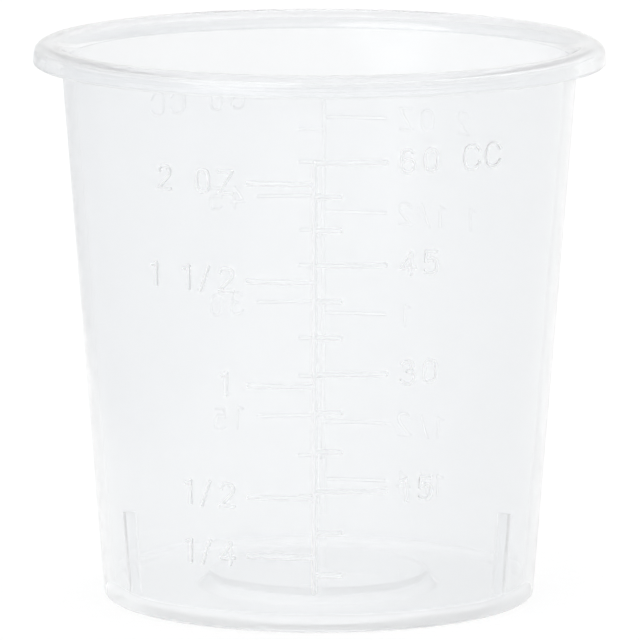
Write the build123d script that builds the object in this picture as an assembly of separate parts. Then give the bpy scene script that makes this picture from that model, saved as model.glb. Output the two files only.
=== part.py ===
from build123d import *
import os
from math import cos, degrees, pi, radians, sqrt, tan

# Sixty millilitre graduated medicine cup: one thin-walled moulding in clear polypropylene.
# Sizes are in millimetres and angles in degrees.
# The origin is the middle of the plane the cup stands on, with Z up and the front scale facing -Y.

# Body
base_diameter = 40.3      # outside, where the line of the wall meets the standing plane
wall_draft = 4.43         # lean of the wall, wider at the top so that cups nest
wall = 0.75
floor = 0.95
heel_chamfer = 0.4        # outside corner between the wall and the base
headroom = 8.21           # from the top line of the scale to the top of the rim

# Rim: the wall turns outwards, then down into a short skirt with a free edge
rim_overhang = 2.5        # from the outside of the wall, carried on to the top, to the free edge
skirt_drop = 2.0          # from the top of the rim to the free edge
skirt_flare = 4.0
throat_round = 1.8        # upper surface, where the wall turns outwards
crown_chamfer = 0.6       # upper surface, where the flange turns down

# Raised middle of the floor, with a recess of the same height beneath it
plateau_diameter = 20.4
plateau_rise = 1.5
plateau_run = 1.05        # how far its slope reaches out to the floor
gate_diameter = 1.6       # stub left where the plastic entered the mould
gate_stub = 0.4

# Stacking ribs that keep nested cups from jamming
rib_count = 3
rib_width = 0.8
rib_reach = 1.0           # how far a rib stands out from the inside of the wall
rib_top = 9.5

# Raised scale
relief = 0.2
line_width = 0.4
spine_bottom = 3.8
cc_tick = 6.85            # labelled cc lines
cc_short_tick = 2.7       # cc lines in between
ounce_tick = 6.45
sink = 0.3                # how deep ribs and scale lines run into the wall, for a full joint
label_step = 15           # every labelled cc line, in ml
short_step = 5            # every cc line, in ml
full_scale = 60           # top line, in ml
fluid_ounce = 28.41       # in ml
ounce_marks = (0.25, 0.5, 1, 1.5, 2)

FRONT = -90               # direction of the front scale around Z
BACK = 90

lean = tan(radians(wall_draft))
level_wall = wall / cos(radians(wall_draft))


def outside(z):
    """Radius of the outside of the wall at a height."""
    return base_diameter / 2 + z * lean


def inside(z):
    """Radius of the inside of the wall at a height."""
    return outside(z) - level_wall


def fill_height(millilitres):
    """Height of the surface when the cup holds this much."""
    top = plateau_diameter / 2
    foot = top + plateau_run
    plateau_volume = pi * plateau_rise * (top**2 + top * foot + foot**2) / 3
    filled = millilitres * 1000 + plateau_volume
    surface_radius = (inside(floor) ** 3 + 3 * lean * filled / pi) ** (1 / 3)
    return floor + (surface_radius - inside(floor)) / lean


height = fill_height(full_scale) + headroom


def upright_face(corners):
    """Upright face over +X from the (x, z) corners of a closed outline."""
    return make_face(Plane.XZ * Polyline(corners, close=True))


def eased(face, corner, operation, size):
    """The face with one of its (x, z) corners filleted or chamfered."""
    x, z = corner
    return operation(face.vertices().sort_by_distance((x, 0, z))[0], size)


def body():
    """Wall, floor and rim, turned in one piece from their half section."""
    rim = outside(height) + rim_overhang
    free_edge = height - skirt_drop
    under_flange = height - wall
    crown = (rim - skirt_drop * tan(radians(skirt_flare)), height)
    throat = (inside(height), height)
    under_throat = (outside(under_flange), under_flange)
    heel = (outside(0), 0)
    plateau = plateau_diameter / 2
    foot = plateau + plateau_run
    upper_surface = [
        (rim, free_edge),
        crown,
        throat,
        (inside(floor), floor),
        (foot, floor),
        (plateau, floor + plateau_rise),
        (0, floor + plateau_rise),
    ]
    lower_surface = [
        (0, plateau_rise),
        (plateau - floor / 2, plateau_rise),
        (foot - floor / 2, 0),
        heel,
        under_throat,
        (crown[0] - wall, under_flange),
        (rim - wall, free_edge),
    ]
    section = upright_face(upper_surface + lower_surface)
    section = eased(section, throat, fillet, throat_round)
    section = eased(section, crown, chamfer, crown_chamfer)
    section = eased(section, heel, chamfer, heel_chamfer)
    # A flat that touches the bend's own inner round keeps the wall even there.
    bend_flat = (throat_round - wall) * (2 - sqrt(2))
    if bend_flat > 0:
        section = eased(section, under_throat, chamfer, bend_flat)
    return revolve(section, Axis.Z)


def gate():
    """Stub under the middle of the floor, clear of the standing plane."""
    top = plateau_rise + floor / 2
    return Pos(0, 0, plateau_rise - gate_stub) * Cylinder(
        gate_diameter / 2, top - plateau_rise + gate_stub,
        align=(Align.CENTER, Align.CENTER, Align.MIN),
    )


def upright_bar(radius_from, radius_to, bottom, top, width):
    """Bar along the wall over +X, its faces following the lean of the wall."""
    section = upright_face([
        (radius_from(bottom), bottom),
        (radius_to(bottom), bottom),
        (radius_to(top), top),
        (radius_from(top), top),
    ])
    return extrude(section, width / 2, both=True)


def rib():
    """Stacking rib inside the wall, standing on the floor."""
    return upright_bar(
        lambda z: inside(z) - rib_reach, lambda z: inside(z) + sink,
        floor - sink, rib_top, rib_width,
    )


def tick(millilitres, length):
    """Level scale line from the spine, to the right of it as read when the length is positive."""
    middle = fill_height(millilitres)
    low, high = middle - line_width / 2, middle + line_width / 2
    section = upright_face([
        (outside(low) - sink, low),
        (outside(low) + relief, low),
        (outside(high) + relief, high),
        (outside(high) - sink, high),
    ])
    turn = degrees(length / outside(middle))
    return Rot(0, 0, min(turn, 0)) * revolve(section, Axis.Z, abs(turn))


def scale_lines():
    """Spine with the cc lines on its right and the ounce lines on its left, over +X."""
    lines = [upright_bar(
        lambda z: outside(z) - sink, lambda z: outside(z) + relief,
        spine_bottom, fill_height(full_scale) + line_width / 2, line_width,
    )]
    for millilitres in range(short_step, full_scale + 1, short_step):
        length = cc_short_tick if millilitres % label_step else cc_tick
        lines.append(tick(millilitres, length))
    for ounces in ounce_marks:
        lines.append(tick(ounces * fluid_ounce, -ounce_tick))
    return lines


def cup():
    """The whole moulding."""
    additions = [gate()]
    for index in range(rib_count):
        additions.append(Rot(0, 0, BACK + index * 360 / rib_count) * rib())
    for direction in (FRONT, BACK):
        additions += [Rot(0, 0, direction) * line for line in scale_lines()]
    return body().fuse(*additions)


os.makedirs("parts", exist_ok=True)
export_step(cup(), "parts/cup.step")
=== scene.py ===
import logging
import math
from dataclasses import dataclass, field
from enum import Enum

import bmesh
import bpy
from mathutils import Matrix, Vector


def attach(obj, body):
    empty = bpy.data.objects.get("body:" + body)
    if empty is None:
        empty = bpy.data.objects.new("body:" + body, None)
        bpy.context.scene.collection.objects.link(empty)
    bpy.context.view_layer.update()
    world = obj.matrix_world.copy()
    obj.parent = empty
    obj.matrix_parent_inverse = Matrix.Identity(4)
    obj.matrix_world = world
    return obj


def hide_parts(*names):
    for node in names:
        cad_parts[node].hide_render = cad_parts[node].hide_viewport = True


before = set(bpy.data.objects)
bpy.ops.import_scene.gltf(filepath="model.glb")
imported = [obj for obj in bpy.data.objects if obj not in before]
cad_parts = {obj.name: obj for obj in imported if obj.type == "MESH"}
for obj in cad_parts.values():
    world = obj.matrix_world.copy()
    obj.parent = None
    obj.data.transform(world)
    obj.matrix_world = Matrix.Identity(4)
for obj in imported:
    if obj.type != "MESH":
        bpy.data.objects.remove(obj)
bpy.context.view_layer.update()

MM = 0.001
LOG = logging.getLogger("medicine_cup")


def linear(code: str) -> tuple:
    """Scene-linear colour of an sRGB hex code.

    Args:
        code: Six hex digits, such as "f4f6f7".

    Returns:
        Red, green, blue and an alpha of 1.
    """
    channels = [int(code[place:place + 2], 16) / 255 for place in (0, 2, 4)]
    curved = [c / 12.92 if c <= 0.04045 else ((c + 0.055) / 1.055) ** 2.4 for c in channels]
    return (*curved, 1.0)


def add_node(
    tree: bpy.types.NodeTree, kind: str, settings: dict = None, values: dict = None, links: dict = None,
) -> bpy.types.Node:
    """Adds one shader node with its settings, socket values and incoming links.

    Args:
        tree: Node tree that takes the node.
        kind: Node type name, such as "ShaderNodeMapping".
        settings: Attribute names and values.
        values: Input names or numbers and constant values.
        links: Input names or numbers and the output sockets that feed them.

    Returns:
        The new node.
    """
    node = tree.nodes.new(kind)
    for name, value in (settings or {}).items():
        setattr(node, name, value)
    for name, value in (values or {}).items():
        node.inputs[name].default_value = value
    for name, source in (links or {}).items():
        tree.links.new(source, node.inputs[name])
    return node


def new_object(name: str, data: bpy.types.ID) -> bpy.types.Object:
    """Puts a mesh or curve into the scene as an object at the origin.

    Args:
        name: Name of the object.
        data: The mesh or curve.

    Returns:
        The new object.
    """
    piece = bpy.data.objects.new(name, data)
    bpy.context.scene.collection.objects.link(piece)
    return piece


def mesh_object(name: str, shape: bmesh.types.BMesh) -> bpy.types.Object:
    """Turns a bmesh into an object and frees the bmesh.

    Args:
        name: Name of the object and its mesh.
        shape: The bmesh, used up.

    Returns:
        The new object.
    """
    mesh = bpy.data.meshes.new(name)
    shape.to_mesh(mesh)
    shape.free()
    return new_object(name, mesh)


def united(parts: list) -> bpy.types.Object:
    """Joins closed mesh objects into one skin without inner faces.

    Args:
        parts: Mesh objects at the origin; they are used up.

    Returns:
        One mesh object.
    """
    first, *others = parts
    for part in others:
        join = first.modifiers.new(part.name, "BOOLEAN")
        join.operation = "UNION"
        join.solver = "MANIFOLD"
        join.object = part
    bpy.context.view_layer.update()
    mesh = bpy.data.meshes.new_from_object(first.evaluated_get(bpy.context.evaluated_depsgraph_get()))
    name = first.name
    for part in parts:
        bpy.data.objects.remove(part)
    return new_object(name, mesh)


@dataclass(frozen=True)
class CupSizes:
    """Measured sizes of the moulding, in millimetres and degrees."""

    base_radius: float = 20.15
    draft: float = 4.43
    wall: float = 0.75
    floor: float = 0.95
    headroom: float = 8.21
    rim_overhang: float = 2.5
    skirt_drop: float = 2.0
    skirt_flare: float = 4.0
    plateau_radius: float = 10.2
    plateau_rise: float = 1.5
    plateau_run: float = 1.05
    fluid_ounce: float = 28.41

    @property
    def lean(self) -> float:
        """Outward run of the wall for each millimetre of height."""
        return math.tan(math.radians(self.draft))

    @property
    def height(self) -> float:
        """Height of the whole cup, from the top line of the scale upwards."""
        return self.fill_height(60) + self.headroom

    def outside(self, height: float) -> float:
        """Radius of the outside of the wall at a height."""
        return self.base_radius + height * self.lean

    def inside(self, height: float) -> float:
        """Radius of the inside of the wall at a height."""
        return self.outside(height) - self.wall / math.cos(math.radians(self.draft))

    def fill_height(self, millilitres: float) -> float:
        """Works out where a volume stands in the cup.

        Args:
            millilitres: Volume held, over the raised middle of the floor.

        Returns:
            Height of the surface above the standing plane.
        """
        top = self.plateau_radius
        foot = top + self.plateau_run
        plateau = math.pi * self.plateau_rise * (top**2 + top * foot + foot**2) / 3
        filled = millilitres * 1000 + plateau
        surface = (self.inside(self.floor) ** 3 + 3 * self.lean * filled / math.pi) ** (1 / 3)
        return self.floor + (surface - self.inside(self.floor)) / self.lean


class Side(Enum):
    """Direction of each of the two scales around the cup, in degrees."""

    FRONT = -90.0
    BACK = 90.0


@dataclass(frozen=True)
class WallMap:
    """Places flat drawings on the outside of the leaning wall."""

    sizes: CupSizes
    side: Side

    def point(self, across: float, height: float) -> Vector:
        """Finds a place on the wall.

        Args:
            across: Arc to the right of the spine, as read, in millimetres.
            height: Height in millimetres.

        Returns:
            The place in metres.
        """
        radius = self.sizes.outside(height)
        angle = math.radians(self.side.value) + across / radius
        return Vector((radius * math.cos(angle), radius * math.sin(angle), height)) * MM


@dataclass(frozen=True)
class Stroke:
    """One engraver's stroke of a figure, in shares of the figure's height."""

    points: tuple
    smooth: bool = False
    closed: bool = False


BOWL = (
    (0.16, 0.0), (0.46, 0.0), (0.62, 0.16), (0.62, 0.84),
    (0.46, 1.0), (0.16, 1.0), (0.0, 0.84), (0.0, 0.16),
)
FIGURES = {
    "0": (Stroke(BOWL, smooth=True, closed=True),),
    "1": (Stroke(((0.06, 0.9), (0.3, 1.0), (0.3, 0.0))),),
    "2": (
        Stroke(
            ((0.02, 0.76), (0.04, 1.0), (0.32, 1.03), (0.62, 0.98), (0.62, 0.62), (0.3, 0.34), (0.0, 0.0)),
            smooth=True,
        ),
        Stroke(((0.0, 0.0), (0.62, 0.0))),
    ),
    "3": (
        Stroke(((0.03, 0.84), (0.1, 1.0), (0.56, 1.03), (0.6, 0.56), (0.24, 0.54)), smooth=True),
        Stroke(((0.24, 0.54), (0.66, 0.54), (0.64, 0.0), (0.1, -0.03), (0.0, 0.2)), smooth=True),
    ),
    "4": (Stroke(((0.48, 0.0), (0.48, 1.0), (0.0, 0.3), (0.66, 0.3))),),
    "5": (
        Stroke(((0.56, 1.0), (0.1, 1.0), (0.06, 0.56))),
        Stroke(
            ((0.06, 0.56), (0.2, 0.66), (0.62, 0.66), (0.64, 0.04), (0.2, -0.04), (0.0, 0.14)),
            smooth=True,
        ),
    ),
    "6": (
        Stroke(((0.56, 0.86), (0.46, 1.02), (0.1, 1.02), (0.0, 0.78), (0.0, 0.3)), smooth=True),
        Stroke(
            (
                (0.16, 0.6), (0.46, 0.6), (0.62, 0.45), (0.62, 0.16),
                (0.46, 0.0), (0.16, 0.0), (0.0, 0.16), (0.0, 0.45),
            ),
            smooth=True, closed=True,
        ),
    ),
    "O": (Stroke(BOWL, smooth=True, closed=True),),
    "C": (
        Stroke(
            (
                (0.86, 0.72), (0.72, 1.03), (0.18, 1.03), (0.0, 0.78),
                (0.0, 0.22), (0.18, -0.03), (0.72, -0.03), (0.86, 0.28),
            ),
            smooth=True,
        ),
    ),
    "Z": (Stroke(((0.0, 1.0), (0.6, 1.0), (0.0, 0.0), (0.6, 0.0))),),
    "/": (Stroke(((0.0, -0.05), (0.4, 1.05))),),
}


@dataclass(frozen=True)
class CupBody:
    """Wall, floor, plateau and rim, turned from one half section."""

    sizes: CupSizes
    steps: int = 384
    quick_steps: int = 192
    throat_round: float = 1.9
    crown_round: float = 1.1
    plateau_round: float = 0.35
    floor_round: float = 0.5
    edge_round: float = 0.25
    heel_round: float = 0.45
    recess_round: float = 0.4
    degrees_a_segment: float = 4.5

    def corners(self) -> list:
        """Corners of the half section with the radius each is rounded to, in millimetres.

        Returns:
            Tuples of radius from the axis, height and rounding.
        """
        s = self.sizes
        rim = s.outside(s.height) + s.rim_overhang
        edge = s.height - s.skirt_drop
        crown = rim - s.skirt_drop * math.tan(math.radians(s.skirt_flare))
        under = s.height - s.wall
        foot = s.plateau_radius + s.plateau_run
        level = s.floor / 2
        return [
            (0.0, s.floor + s.plateau_rise, 0.0),
            (s.plateau_radius, s.floor + s.plateau_rise, self.plateau_round),
            (foot, s.floor, self.floor_round),
            (s.inside(s.floor), s.floor, self.floor_round),
            (s.inside(s.height), s.height, self.throat_round),
            (crown, s.height, self.crown_round),
            (rim, edge, self.edge_round),
            (rim - s.wall, edge, self.edge_round),
            (crown - s.wall, under, self.crown_round - s.wall),
            (s.outside(under), under, self.throat_round - s.wall),
            (s.outside(0.0), 0.0, self.heel_round),
            (foot - level, 0.0, self.recess_round),
            (s.plateau_radius - level, s.plateau_rise, self.recess_round),
            (0.0, s.plateau_rise, 0.0),
        ]

    def build(self) -> bpy.types.Object:
        """Rounds the section's corners and spins it into a closed shell.

        Returns:
            The shell as a mesh object.
        """
        shape = bmesh.new()
        rows = self.corners()
        ring = [shape.verts.new((radius * MM, 0.0, height * MM)) for radius, height, _ in rows]
        section = shape.faces.new(ring)
        section.normal_update()
        for index, (radius, height, rounding) in enumerate(rows):
            if rounding <= 0.0:
                continue
            here = Vector((radius, 0.0, height))
            before = Vector((rows[index - 1][0], 0.0, rows[index - 1][1])) - here
            after = Vector((rows[index + 1][0], 0.0, rows[index + 1][1])) - here
            turn = math.pi - before.angle(after)
            segments = max(3, round(math.degrees(turn) / self.degrees_a_segment))
            bmesh.ops.bevel(
                shape, geom=[ring[index]], offset=rounding * math.tan(turn / 2) * MM, offset_type="OFFSET",
                segments=segments, profile=0.5, affect="VERTICES", material=-1,
            )
        bmesh.ops.delete(shape, geom=shape.faces[:], context="FACES_ONLY")
        axis_edge = [e for e in shape.edges if max(abs(v.co.x) for v in e.verts) < 1e-9]
        bmesh.ops.delete(shape, geom=axis_edge, context="EDGES")
        bmesh.ops.spin(
            shape, geom=shape.verts[:] + shape.edges[:], cent=(0, 0, 0), axis=(0, 0, 1),
            angle=math.tau, steps=self.steps, use_merge=True,
        )
        bmesh.ops.remove_doubles(shape, verts=shape.verts[:], dist=1e-7)
        bmesh.ops.recalc_face_normals(shape, faces=shape.faces[:])
        return mesh_object("cup_body", shape)


@dataclass(frozen=True)
class StackingRibs:
    """Three upright ribs inside the foot of the wall that keep nested cups from jamming."""

    sizes: CupSizes
    directions: tuple = (90.0, 210.0, 330.0)
    width: float = 0.8
    reach: float = 1.0
    top: float = 9.5
    sink: float = 0.3
    rounding: float = 0.22

    def build(self) -> list:
        """Makes one rounded bar for each rib, running a little into the wall and the floor.

        Returns:
            One mesh object for each rib.
        """
        s = self.sizes
        bottom = s.floor - self.sink
        bars = []
        for index, direction in enumerate(self.directions):
            shape = bmesh.new()
            bmesh.ops.create_cube(shape, size=1.0)
            size = (self.reach + self.sink, self.width, self.top - bottom)
            bmesh.ops.scale(shape, vec=size, verts=shape.verts[:])
            middle = (self.sink - self.reach) / 2
            bmesh.ops.translate(shape, vec=(middle, 0, (self.top + bottom) / 2), verts=shape.verts[:])
            exposed = [e for e in shape.edges if all(v.co.x < middle for v in e.verts)]
            exposed += [e for e in shape.edges if all(v.co.z > self.top - 0.01 for v in e.verts)]
            bmesh.ops.bevel(
                shape, geom=list(set(exposed)), offset=self.rounding, offset_type="OFFSET", segments=4,
                profile=0.5, affect="EDGES", material=-1,
            )
            for vert in shape.verts:
                vert.co.x += s.inside(vert.co.z)
            turned = Matrix.Rotation(math.radians(direction), 4, "Z") @ Matrix.Scale(MM, 4)
            bmesh.ops.transform(shape, matrix=turned, verts=shape.verts[:])
            bmesh.ops.recalc_face_normals(shape, faces=shape.faces[:])
            bars.append(mesh_object(f"rib_{index}", shape))
        return bars


@dataclass(frozen=True)
class GateMark:
    """Small stub in the recess under the floor, where the plastic entered the mould."""

    sizes: CupSizes
    radius: float = 0.8
    stub: float = 0.4
    rounding: float = 0.15

    def build(self) -> list:
        """Makes the stub with a rounded end, running into the floor above it.

        Returns:
            The stub, alone in a list.
        """
        s = self.sizes
        shape = bmesh.new()
        depth = self.stub + s.floor / 2
        bmesh.ops.create_cone(
            shape, cap_ends=True, segments=48, radius1=self.radius, radius2=self.radius, depth=depth,
        )
        low = [e for e in shape.edges if all(v.co.z < 0 for v in e.verts)]
        bmesh.ops.bevel(
            shape, geom=low, offset=self.rounding, offset_type="OFFSET", segments=3,
            profile=0.5, affect="EDGES", material=-1,
        )
        bmesh.ops.translate(shape, vec=(0, 0, s.plateau_rise - self.stub + depth / 2), verts=shape.verts[:])
        bmesh.ops.scale(shape, vec=(MM, MM, MM), verts=shape.verts[:])
        bmesh.ops.recalc_face_normals(shape, faces=shape.faces[:])
        return [mesh_object("gate", shape)]


@dataclass(frozen=True)
class RaisedScale:
    """Spine, level lines and figures moulded on the outside, once on each side."""

    sizes: CupSizes
    line_radius: float = 0.2
    figure_radius: float = 0.14
    figure_height: float = 2.0
    spine_bottom: float = 3.8
    cc_tick: float = 6.85
    cc_short_tick: float = 2.7
    ounce_tick: float = 6.45
    pitch: float = 2.3
    cc_label_start: float = 8.0
    ounce_label_end: float = -7.6
    figure_width: float = 0.62
    cc_labels: dict = field(default_factory=lambda: {60: "60 CC", 45: "45", 30: "30", 15: "15"})
    ounce_labels: dict = field(
        default_factory=lambda: {2: "2 OZ", 1.5: "1 1/2", 1: "1", 0.5: "1/2", 0.25: "1/4"}
    )

    def stroke(
        self, name: str, places: list, radius: float, smooth: bool = False, closed: bool = False,
    ) -> bpy.types.Object:
        """Draws one raised stroke as a round bar, half sunk into the wall.

        Args:
            name: Name of the new object.
            places: Points in metres.
            radius: Radius of the bar in millimetres.
            smooth: Whether the bar bends smoothly past its points.
            closed: Whether the bar closes on itself.

        Returns:
            The bar as a mesh object.
        """
        curve = bpy.data.curves.new(name, "CURVE")
        curve.dimensions = "3D"
        curve.bevel_depth = radius * MM
        curve.bevel_resolution = 3
        curve.use_fill_caps = not closed
        curve.resolution_u = 5
        spline = curve.splines.new("NURBS" if smooth else "POLY")
        spline.points.add(len(places) - 1)
        for point, place in zip(spline.points, places):
            point.co = (*place, 1.0)
        if smooth:
            spline.order_u = 4 if closed else 3
            spline.use_endpoint_u = not closed
        spline.use_cyclic_u = closed
        drawn = new_object(name, curve)
        bpy.context.view_layer.update()
        mesh = bpy.data.meshes.new_from_object(drawn.evaluated_get(bpy.context.evaluated_depsgraph_get()))
        bpy.data.objects.remove(drawn)
        shape = bmesh.new()
        shape.from_mesh(mesh)
        bmesh.ops.remove_doubles(shape, verts=shape.verts[:], dist=1e-7)
        bmesh.ops.recalc_face_normals(shape, faces=shape.faces[:])
        bpy.data.meshes.remove(mesh)
        return mesh_object(name, shape)

    def tick(self, wall: WallMap, millilitres: float, length: float) -> bpy.types.Object:
        """Draws a level line from the spine.

        Args:
            wall: Side of the wall that takes it.
            millilitres: Volume it marks.
            length: Length in millimetres, to the right as read when positive.

        Returns:
            The line as a mesh object.
        """
        height = self.sizes.fill_height(millilitres)
        count = max(3, round(abs(length) / 0.7))
        end = length - math.copysign(self.line_radius, length)
        places = [wall.point(end * index / count, height) for index in range(count + 1)]
        return self.stroke("tick", places, self.line_radius)

    def text_width(self, text: str) -> float:
        """Width of a label in millimetres, from its first figure's left to its last one's right."""
        return sum(self.advance(sign) for sign in text[:-1]) + self.figure_width * self.figure_height

    def advance(self, sign: str) -> float:
        """How far one sign moves the next one along."""
        return self.pitch * {" ": 0.8, "1": 0.8, "/": 0.85, "C": 1.1}.get(sign, 1.0)

    def label(self, wall: WallMap, text: str, millilitres: float, start: float) -> list:
        """Draws a label whose figures are centred on their line.

        Args:
            wall: Side of the wall that takes it.
            text: Figures and unit letters.
            millilitres: Volume of the line beside it.
            start: Arc from the spine to the first figure's left, in millimetres.

        Returns:
            One mesh object for each stroke.
        """
        bottom = self.sizes.fill_height(millilitres) - self.figure_height / 2
        strokes = []
        for sign in text:
            for stroke in FIGURES.get(sign, ()):
                places = [
                    wall.point(start + x * self.figure_height, bottom + y * self.figure_height)
                    for x, y in stroke.points
                ]
                if stroke.smooth:
                    strokes.append(self.stroke("figure", places, self.figure_radius, True, stroke.closed))
                    continue
                for first, last in zip(places, places[1:]):
                    reach = (last - first).normalized() * self.figure_radius * MM
                    strokes.append(self.stroke("figure", [first - reach, last + reach], self.figure_radius))
            start += self.advance(sign)
        return strokes

    def build(self) -> list:
        """Makes every line and figure of both scales.

        Returns:
            One mesh object for each line and each stroke.
        """
        s = self.sizes
        marks = []
        for side in Side:
            wall = WallMap(s, side)
            top = s.fill_height(60)
            spine = [wall.point(0, self.spine_bottom), wall.point(0, top)]
            marks.append(self.stroke("spine", spine, self.line_radius))
            for millilitres in range(5, 61, 5):
                length = self.cc_tick if millilitres in self.cc_labels else self.cc_short_tick
                marks.append(self.tick(wall, millilitres, length))
            for ounces in self.ounce_labels:
                marks.append(self.tick(wall, ounces * s.fluid_ounce, -self.ounce_tick))
            for millilitres, text in self.cc_labels.items():
                marks += self.label(wall, text, millilitres, self.cc_label_start)
            for ounces, text in self.ounce_labels.items():
                start = self.ounce_label_end - self.text_width(text)
                marks += self.label(wall, text, ounces * s.fluid_ounce, start)
        return marks


@dataclass(frozen=True)
class ClearPolypropylene:
    """Natural polypropylene, injection moulded against polished steel."""

    sizes: CupSizes
    name: str = "clear_polypropylene_moulded"
    tint: str = "f4f5f6"
    clearness: float = 0.8
    slant_clearness: float = 0.62
    base_clearness: float = 0.66
    mark_roughness: float = 0.26
    marks_end: float = 47.0
    roughness: float = 0.03
    refraction: float = 1.49
    absorption: tuple = (0.80, 0.805, 0.81, 1.0)
    density: float = 8.0
    passing: float = 0.968

    def build(self) -> bpy.types.Material:
        """Makes the material.

        Returns:
            The finished material.
        """
        material = bpy.data.materials.new(self.name)
        material.use_nodes = True
        tree = material.node_tree
        tree.nodes.clear()
        place = add_node(tree, "ShaderNodeTexCoord")
        # Flow of the melt: a very shallow waviness, drawn out up the wall, that lets reflections swim.
        stretch = add_node(
            tree, "ShaderNodeMapping", values={"Scale": (1.0, 1.0, 0.35)},
            links={"Vector": place.outputs["Object"]},
        )
        flow = add_node(
            tree, "ShaderNodeTexNoise", values={"Scale": 160.0, "Detail": 2.0, "Roughness": 0.4},
            links={"Vector": stretch.outputs["Vector"]},
        )
        bump = add_node(
            tree, "ShaderNodeBump", values={"Strength": 0.12, "Distance": 0.0002},
            links={"Height": flow.outputs["Fac"]},
        )
        # Fine haze of the semicrystalline plastic: patches a little duller than others.
        haze = add_node(
            tree, "ShaderNodeTexNoise", values={"Scale": 900.0, "Detail": 3.0},
            links={"Vector": place.outputs["Object"]},
        )
        dull = add_node(
            tree, "ShaderNodeMapRange",
            values={
                "From Min": 0.3, "From Max": 0.7,
                "To Min": self.roughness * 0.7, "To Max": self.roughness * 1.5,
            },
            links={"Value": haze.outputs["Fac"]},
        )
        # The plastic's milkiness tells more where the eye meets the wall at a slant.
        slant = add_node(tree, "ShaderNodeLayerWeight", values={"Blend": 0.5})
        clear = add_node(
            tree, "ShaderNodeMapRange", settings={"interpolation_type": "SMOOTHSTEP"},
            values={
                "From Min": 0.35, "From Max": 0.95,
                "To Min": self.clearness, "To Max": self.slant_clearness,
            },
            links={"Value": slant.outputs["Facing"]},
        )
        # The scale was cut into the steel and left matt, so the raised marks catch the light more softly.
        up = add_node(tree, "ShaderNodeSeparateXYZ", links={"Vector": place.outputs["Object"]})
        flat = add_node(
            tree, "ShaderNodeVectorMath", settings={"operation": "MULTIPLY"},
            values={1: (1.0, 1.0, 0.0)}, links={0: place.outputs["Object"]},
        )
        radius = add_node(
            tree, "ShaderNodeVectorMath", settings={"operation": "LENGTH"},
            links={0: flat.outputs["Vector"]},
        )
        cone = add_node(
            tree, "ShaderNodeMath", settings={"operation": "MULTIPLY_ADD"},
            values={1: self.sizes.lean, 2: self.sizes.base_radius * MM}, links={0: up.outputs["Z"]},
        )
        raised = add_node(
            tree, "ShaderNodeMath", settings={"operation": "SUBTRACT"},
            links={0: radius.outputs["Value"], 1: cone.outputs["Value"]},
        )
        mark = add_node(
            tree, "ShaderNodeMapRange",
            values={"From Min": 0.03 * MM, "From Max": 0.06 * MM}, links={"Value": raised.outputs["Value"]},
        )
        under_rim = add_node(
            tree, "ShaderNodeMath", settings={"operation": "LESS_THAN"},
            values={1: self.marks_end * MM}, links={0: up.outputs["Z"]},
        )
        matt = add_node(
            tree, "ShaderNodeMath", settings={"operation": "MULTIPLY"},
            links={0: mark.outputs["Result"], 1: under_rim.outputs["Value"]},
        )
        roughness = add_node(
            tree, "ShaderNodeMath", settings={"operation": "MULTIPLY_ADD"},
            values={1: self.mark_roughness}, links={0: matt.outputs["Value"], 2: dull.outputs["Result"]},
        )
        # The base cooled slowest, being the thickest, so it is the haziest part.
        base = add_node(
            tree, "ShaderNodeMapRange", settings={"interpolation_type": "SMOOTHSTEP"},
            values={
                "From Min": 0.0026, "From Max": 0.0009,
                "To Min": 1.0, "To Max": self.base_clearness / self.clearness,
            },
            links={"Value": up.outputs["Z"]},
        )
        clearness = add_node(
            tree, "ShaderNodeMath", settings={"operation": "MULTIPLY"},
            links={0: clear.outputs["Result"], 1: base.outputs["Result"]},
        )
        surface = add_node(
            tree, "ShaderNodeBsdfPrincipled",
            values={"Base Color": linear(self.tint), "IOR": self.refraction},
            links={
                "Roughness": roughness.outputs["Value"], "Normal": bump.outputs["Normal"],
                "Transmission Weight": clearness.outputs["Value"],
            },
        )
        inside = add_node(
            tree, "ShaderNodeVolumeAbsorption", values={"Color": self.absorption, "Density": self.density},
        )
        # Light on its way to the floor goes through, so that the shadow is as thin as clear plastic's.
        path = add_node(tree, "ShaderNodeLightPath")
        lit = add_node(tree, "ShaderNodeMath", settings={"operation": "MAXIMUM"})
        tree.links.new(path.outputs["Is Shadow Ray"], lit.inputs[0])
        tree.links.new(path.outputs["Is Diffuse Ray"], lit.inputs[1])
        passed = (self.passing, self.passing, self.passing, 1.0)
        through = add_node(tree, "ShaderNodeBsdfTransparent", values={"Color": passed})
        shown = add_node(tree, "ShaderNodeMixShader", links={"Fac": lit.outputs["Value"]})
        tree.links.new(surface.outputs["BSDF"], shown.inputs[1])
        tree.links.new(through.outputs["BSDF"], shown.inputs[2])
        add_node(
            tree, "ShaderNodeOutputMaterial",
            links={"Surface": shown.outputs["Shader"], "Volume": inside.outputs["Volume"]},
        )
        return material


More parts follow.
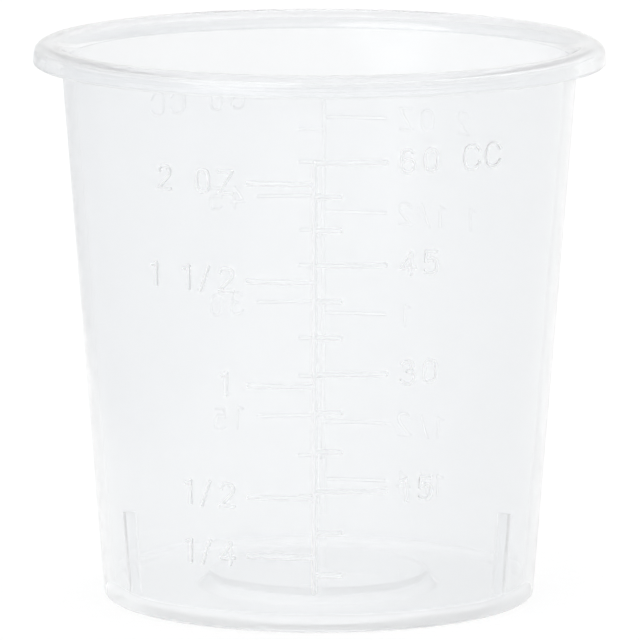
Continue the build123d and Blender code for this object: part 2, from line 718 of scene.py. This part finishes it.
@dataclass(frozen=True)
class Moulding:
    """The finished cup: body, ribs, gate and scale joined into one closed skin."""

    sizes: CupSizes
    finish: ClearPolypropylene
    batch: int = 12
    crease: float = 28.0
    near_wall: float = 0.03
    along_wall: float = 0.98

    def build(self) -> bpy.types.Object:
        """Joins the parts, smooths the shading and replaces the CAD node.

        Returns:
            The finished cup.
        """
        s = self.sizes
        parts = StackingRibs(s).build() + GateMark(s).build() + RaisedScale(s).build()
        count = len(parts)
        groups = [united(parts[start:start + self.batch]) for start in range(0, count, self.batch)]
        piece = united([CupBody(s).build(), *groups])
        piece.name = "medicine_cup"
        joined = piece.data
        joined.name = "medicine_cup"
        joined.shade_smooth()
        joined.set_sharp_from_angle(angle=math.radians(self.crease))
        self.true_wall_normals(joined)
        joined.materials.clear()
        joined.materials.append(self.finish.build())
        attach(piece, "root")
        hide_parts("cup")
        LOG.info("medicine_cup: %d faces from %d parts", len(joined.polygons), count + 1)
        return piece

    def true_wall_normals(self, mesh: bpy.types.Mesh) -> None:
        """Shades both faces of the wall as the true cones they stand for, also around the marks.

        Args:
            mesh: The joined skin.
        """
        s = self.sizes
        rise, run = math.sin(math.radians(s.draft)), math.cos(math.radians(s.draft))
        normals = [corner.vector.copy() for corner in mesh.corner_normals]
        for face in mesh.polygons:
            centre = face.center / MM
            radius = centre.xy.length
            for radius_at, outward in ((s.outside, 1.0), (s.inside, -1.0)):
                away = centre.xy / max(radius, 1e-6) * outward
                off_wall = abs(radius - radius_at(centre.z)) > self.near_wall
                if off_wall or face.normal.xy.dot(away) < self.along_wall:
                    continue
                for loop in face.loop_indices:
                    flat = mesh.vertices[mesh.loops[loop].vertex_index].co.xy.normalized()
                    normals[loop] = Vector((flat.x * run, flat.y * run, -rise)) * outward
        mesh.normals_split_custom_set(normals)


@dataclass(frozen=True)
class RoomPatch:
    """Part of the studio's walls that is brighter, or with a negative gain darker, than the rest."""

    azimuth: float
    elevation: float
    inner: float
    outer: float
    gain: float

    def direction(self) -> Vector:
        """Direction from the cup to the middle of the patch."""
        turn, rise = math.radians(self.azimuth), math.radians(self.elevation)
        return Vector((math.sin(turn) * math.cos(rise), -math.cos(turn) * math.cos(rise), math.sin(rise)))


@dataclass(frozen=True)
class Studio:
    """Pale floor, soft room light and the photograph's camera."""

    patches: tuple = (
        RoomPatch(0.0, 90.0, 25.0, 80.0, 0.15),
        RoomPatch(-36.0, 26.0, 20.0, 31.0, 1.4),
        RoomPatch(100.0, 10.0, 30.0, 70.0, 0.15),
        RoomPatch(-115.0, 10.0, 25.0, 65.0, -0.28),
    )
    world_brightness: float = 0.88
    air_gap: float = 0.05
    floor_half: float = 4.0
    # Where the painted shade on the left of the floor begins and where it is full, in millimetres.
    painted_shade_from: float = -55.0
    painted_shade_to: float = -95.0
    camera_place: tuple = (0.0, -754.73, 145.54)
    camera_aim: tuple = (0.076, 0.0, 25.92)
    camera_turn: float = 1.1
    camera_roll: float = 0.088
    sensor: float = 36.0
    focal_pixels: float = 8164.0
    picture_pixels: float = 640.0

    def floor(self) -> None:
        """Makes the pale floor, with painted shade on its left."""
        shape = bmesh.new()
        bmesh.ops.create_grid(shape, x_segments=1, y_segments=1, size=self.floor_half)
        bmesh.ops.translate(shape, vec=(0, 0, -self.air_gap * MM), verts=shape.verts[:])
        floor = mesh_object("floor", shape)
        # The paper's colour carries painted shade on its left, besides the fibres' mottle.
        material = bpy.data.materials.new("white_paper_with_painted_shade")
        material.use_nodes = True
        tree = material.node_tree
        paper = tree.nodes["Principled BSDF"]
        paper.inputs["Roughness"].default_value = 0.9
        paper.inputs["Specular IOR Level"].default_value = 0.0
        place = add_node(tree, "ShaderNodeTexCoord")
        # Paper fibres: a fine mottle that keeps the sheet from looking like a screen.
        fibres = add_node(
            tree, "ShaderNodeTexNoise", values={"Scale": 700.0, "Detail": 4.0},
            links={"Vector": place.outputs["Object"]},
        )
        mottle = add_node(
            tree, "ShaderNodeMix", settings={"data_type": "RGBA"},
            values={6: linear("f9f9f9"), 7: linear("fcfcfc")}, links={0: fibres.outputs["Fac"]},
        )
        # Painted shade: the sheet's colour darkens towards the left to stand in for shade there, which draws
        # the cup's left edge.
        across = add_node(tree, "ShaderNodeSeparateXYZ", links={"Vector": place.outputs["Object"]})
        painted_shade_mask = add_node(
            tree, "ShaderNodeMapRange", settings={"interpolation_type": "SMOOTHSTEP"},
            values={"From Min": self.painted_shade_from * MM, "From Max": self.painted_shade_to * MM},
            links={"Value": across.outputs["X"]},
        )
        sheet_with_painted_shade = add_node(
            tree, "ShaderNodeMix", settings={"data_type": "RGBA"},
            values={7: linear("e4e5e7")}, links={0: painted_shade_mask.outputs["Result"], 6: mottle.outputs[2]},
        )
        tree.links.new(sheet_with_painted_shade.outputs[2], paper.inputs["Base Color"])
        floor.data.materials.append(material)

    def world(self) -> None:
        """Fills the room with even soft light."""
        world = bpy.data.worlds.new("studio_room")
        world.use_nodes = True
        tree = world.node_tree
        background = tree.nodes["Background"]
        background.inputs["Color"].default_value = (1, 1, 1, 1)
        place = add_node(tree, "ShaderNodeTexCoord")
        total = add_node(
            tree, "ShaderNodeMath", settings={"operation": "ADD"}, values={0: self.world_brightness, 1: 0.0},
        )
        for patch in self.patches:
            facing = add_node(
                tree, "ShaderNodeVectorMath", settings={"operation": "DOT_PRODUCT"},
                values={1: patch.direction()}, links={0: place.outputs["Generated"]},
            )
            glow = add_node(
                tree, "ShaderNodeMapRange", settings={"interpolation_type": "SMOOTHSTEP"},
                values={
                    "From Min": math.cos(math.radians(patch.outer)),
                    "From Max": math.cos(math.radians(patch.inner)),
                    "To Max": patch.gain,
                },
                links={"Value": facing.outputs["Value"]},
            )
            total = add_node(
                tree, "ShaderNodeMath", settings={"operation": "ADD"},
                links={0: total.outputs["Value"], 1: glow.outputs["Result"]},
            )
        tree.links.new(total.outputs["Value"], background.inputs["Strength"])
        bpy.context.scene.world = world

    def camera(self) -> None:
        """Sets the camera at the photograph's distance, height and tilt."""
        turn = Matrix.Rotation(math.radians(self.camera_turn), 3, "Z")
        place = turn @ Vector(self.camera_place)
        aim = turn @ Vector(self.camera_aim)
        forward = (aim - place).normalized()
        right = forward.cross(Vector((0, 0, 1))).normalized()
        up = right.cross(forward)
        roll = math.radians(self.camera_roll)
        level, plumb = right, up
        right = level * math.cos(roll) + plumb * math.sin(roll)
        up = plumb * math.cos(roll) - level * math.sin(roll)
        data = bpy.data.cameras.new("photo_camera")
        data.sensor_width = self.sensor
        data.lens = self.sensor * self.focal_pixels / self.picture_pixels
        data.clip_end = 20.0
        camera = new_object("photo_camera", data)
        turned = Matrix((right, up, -forward)).transposed().to_4x4()
        camera.matrix_world = Matrix.Translation(place * MM) @ turned
        bpy.context.scene.camera = camera

    def build(self) -> None:
        """Sets up the whole studio."""
        self.floor()
        self.world()
        self.camera()
        bpy.context.scene.view_settings.view_transform = "Standard"
        LOG.info("studio: floor, room with %d soft lights or shades, camera", len(self.patches))


def main() -> None:
    """Builds the cup and the studio."""
    logging.basicConfig(level=logging.INFO, format="%(message)s")
    sizes = CupSizes()
    Moulding(sizes, ClearPolypropylene(sizes)).build()
    Studio().build()


if __name__ == "__main__":
    main()
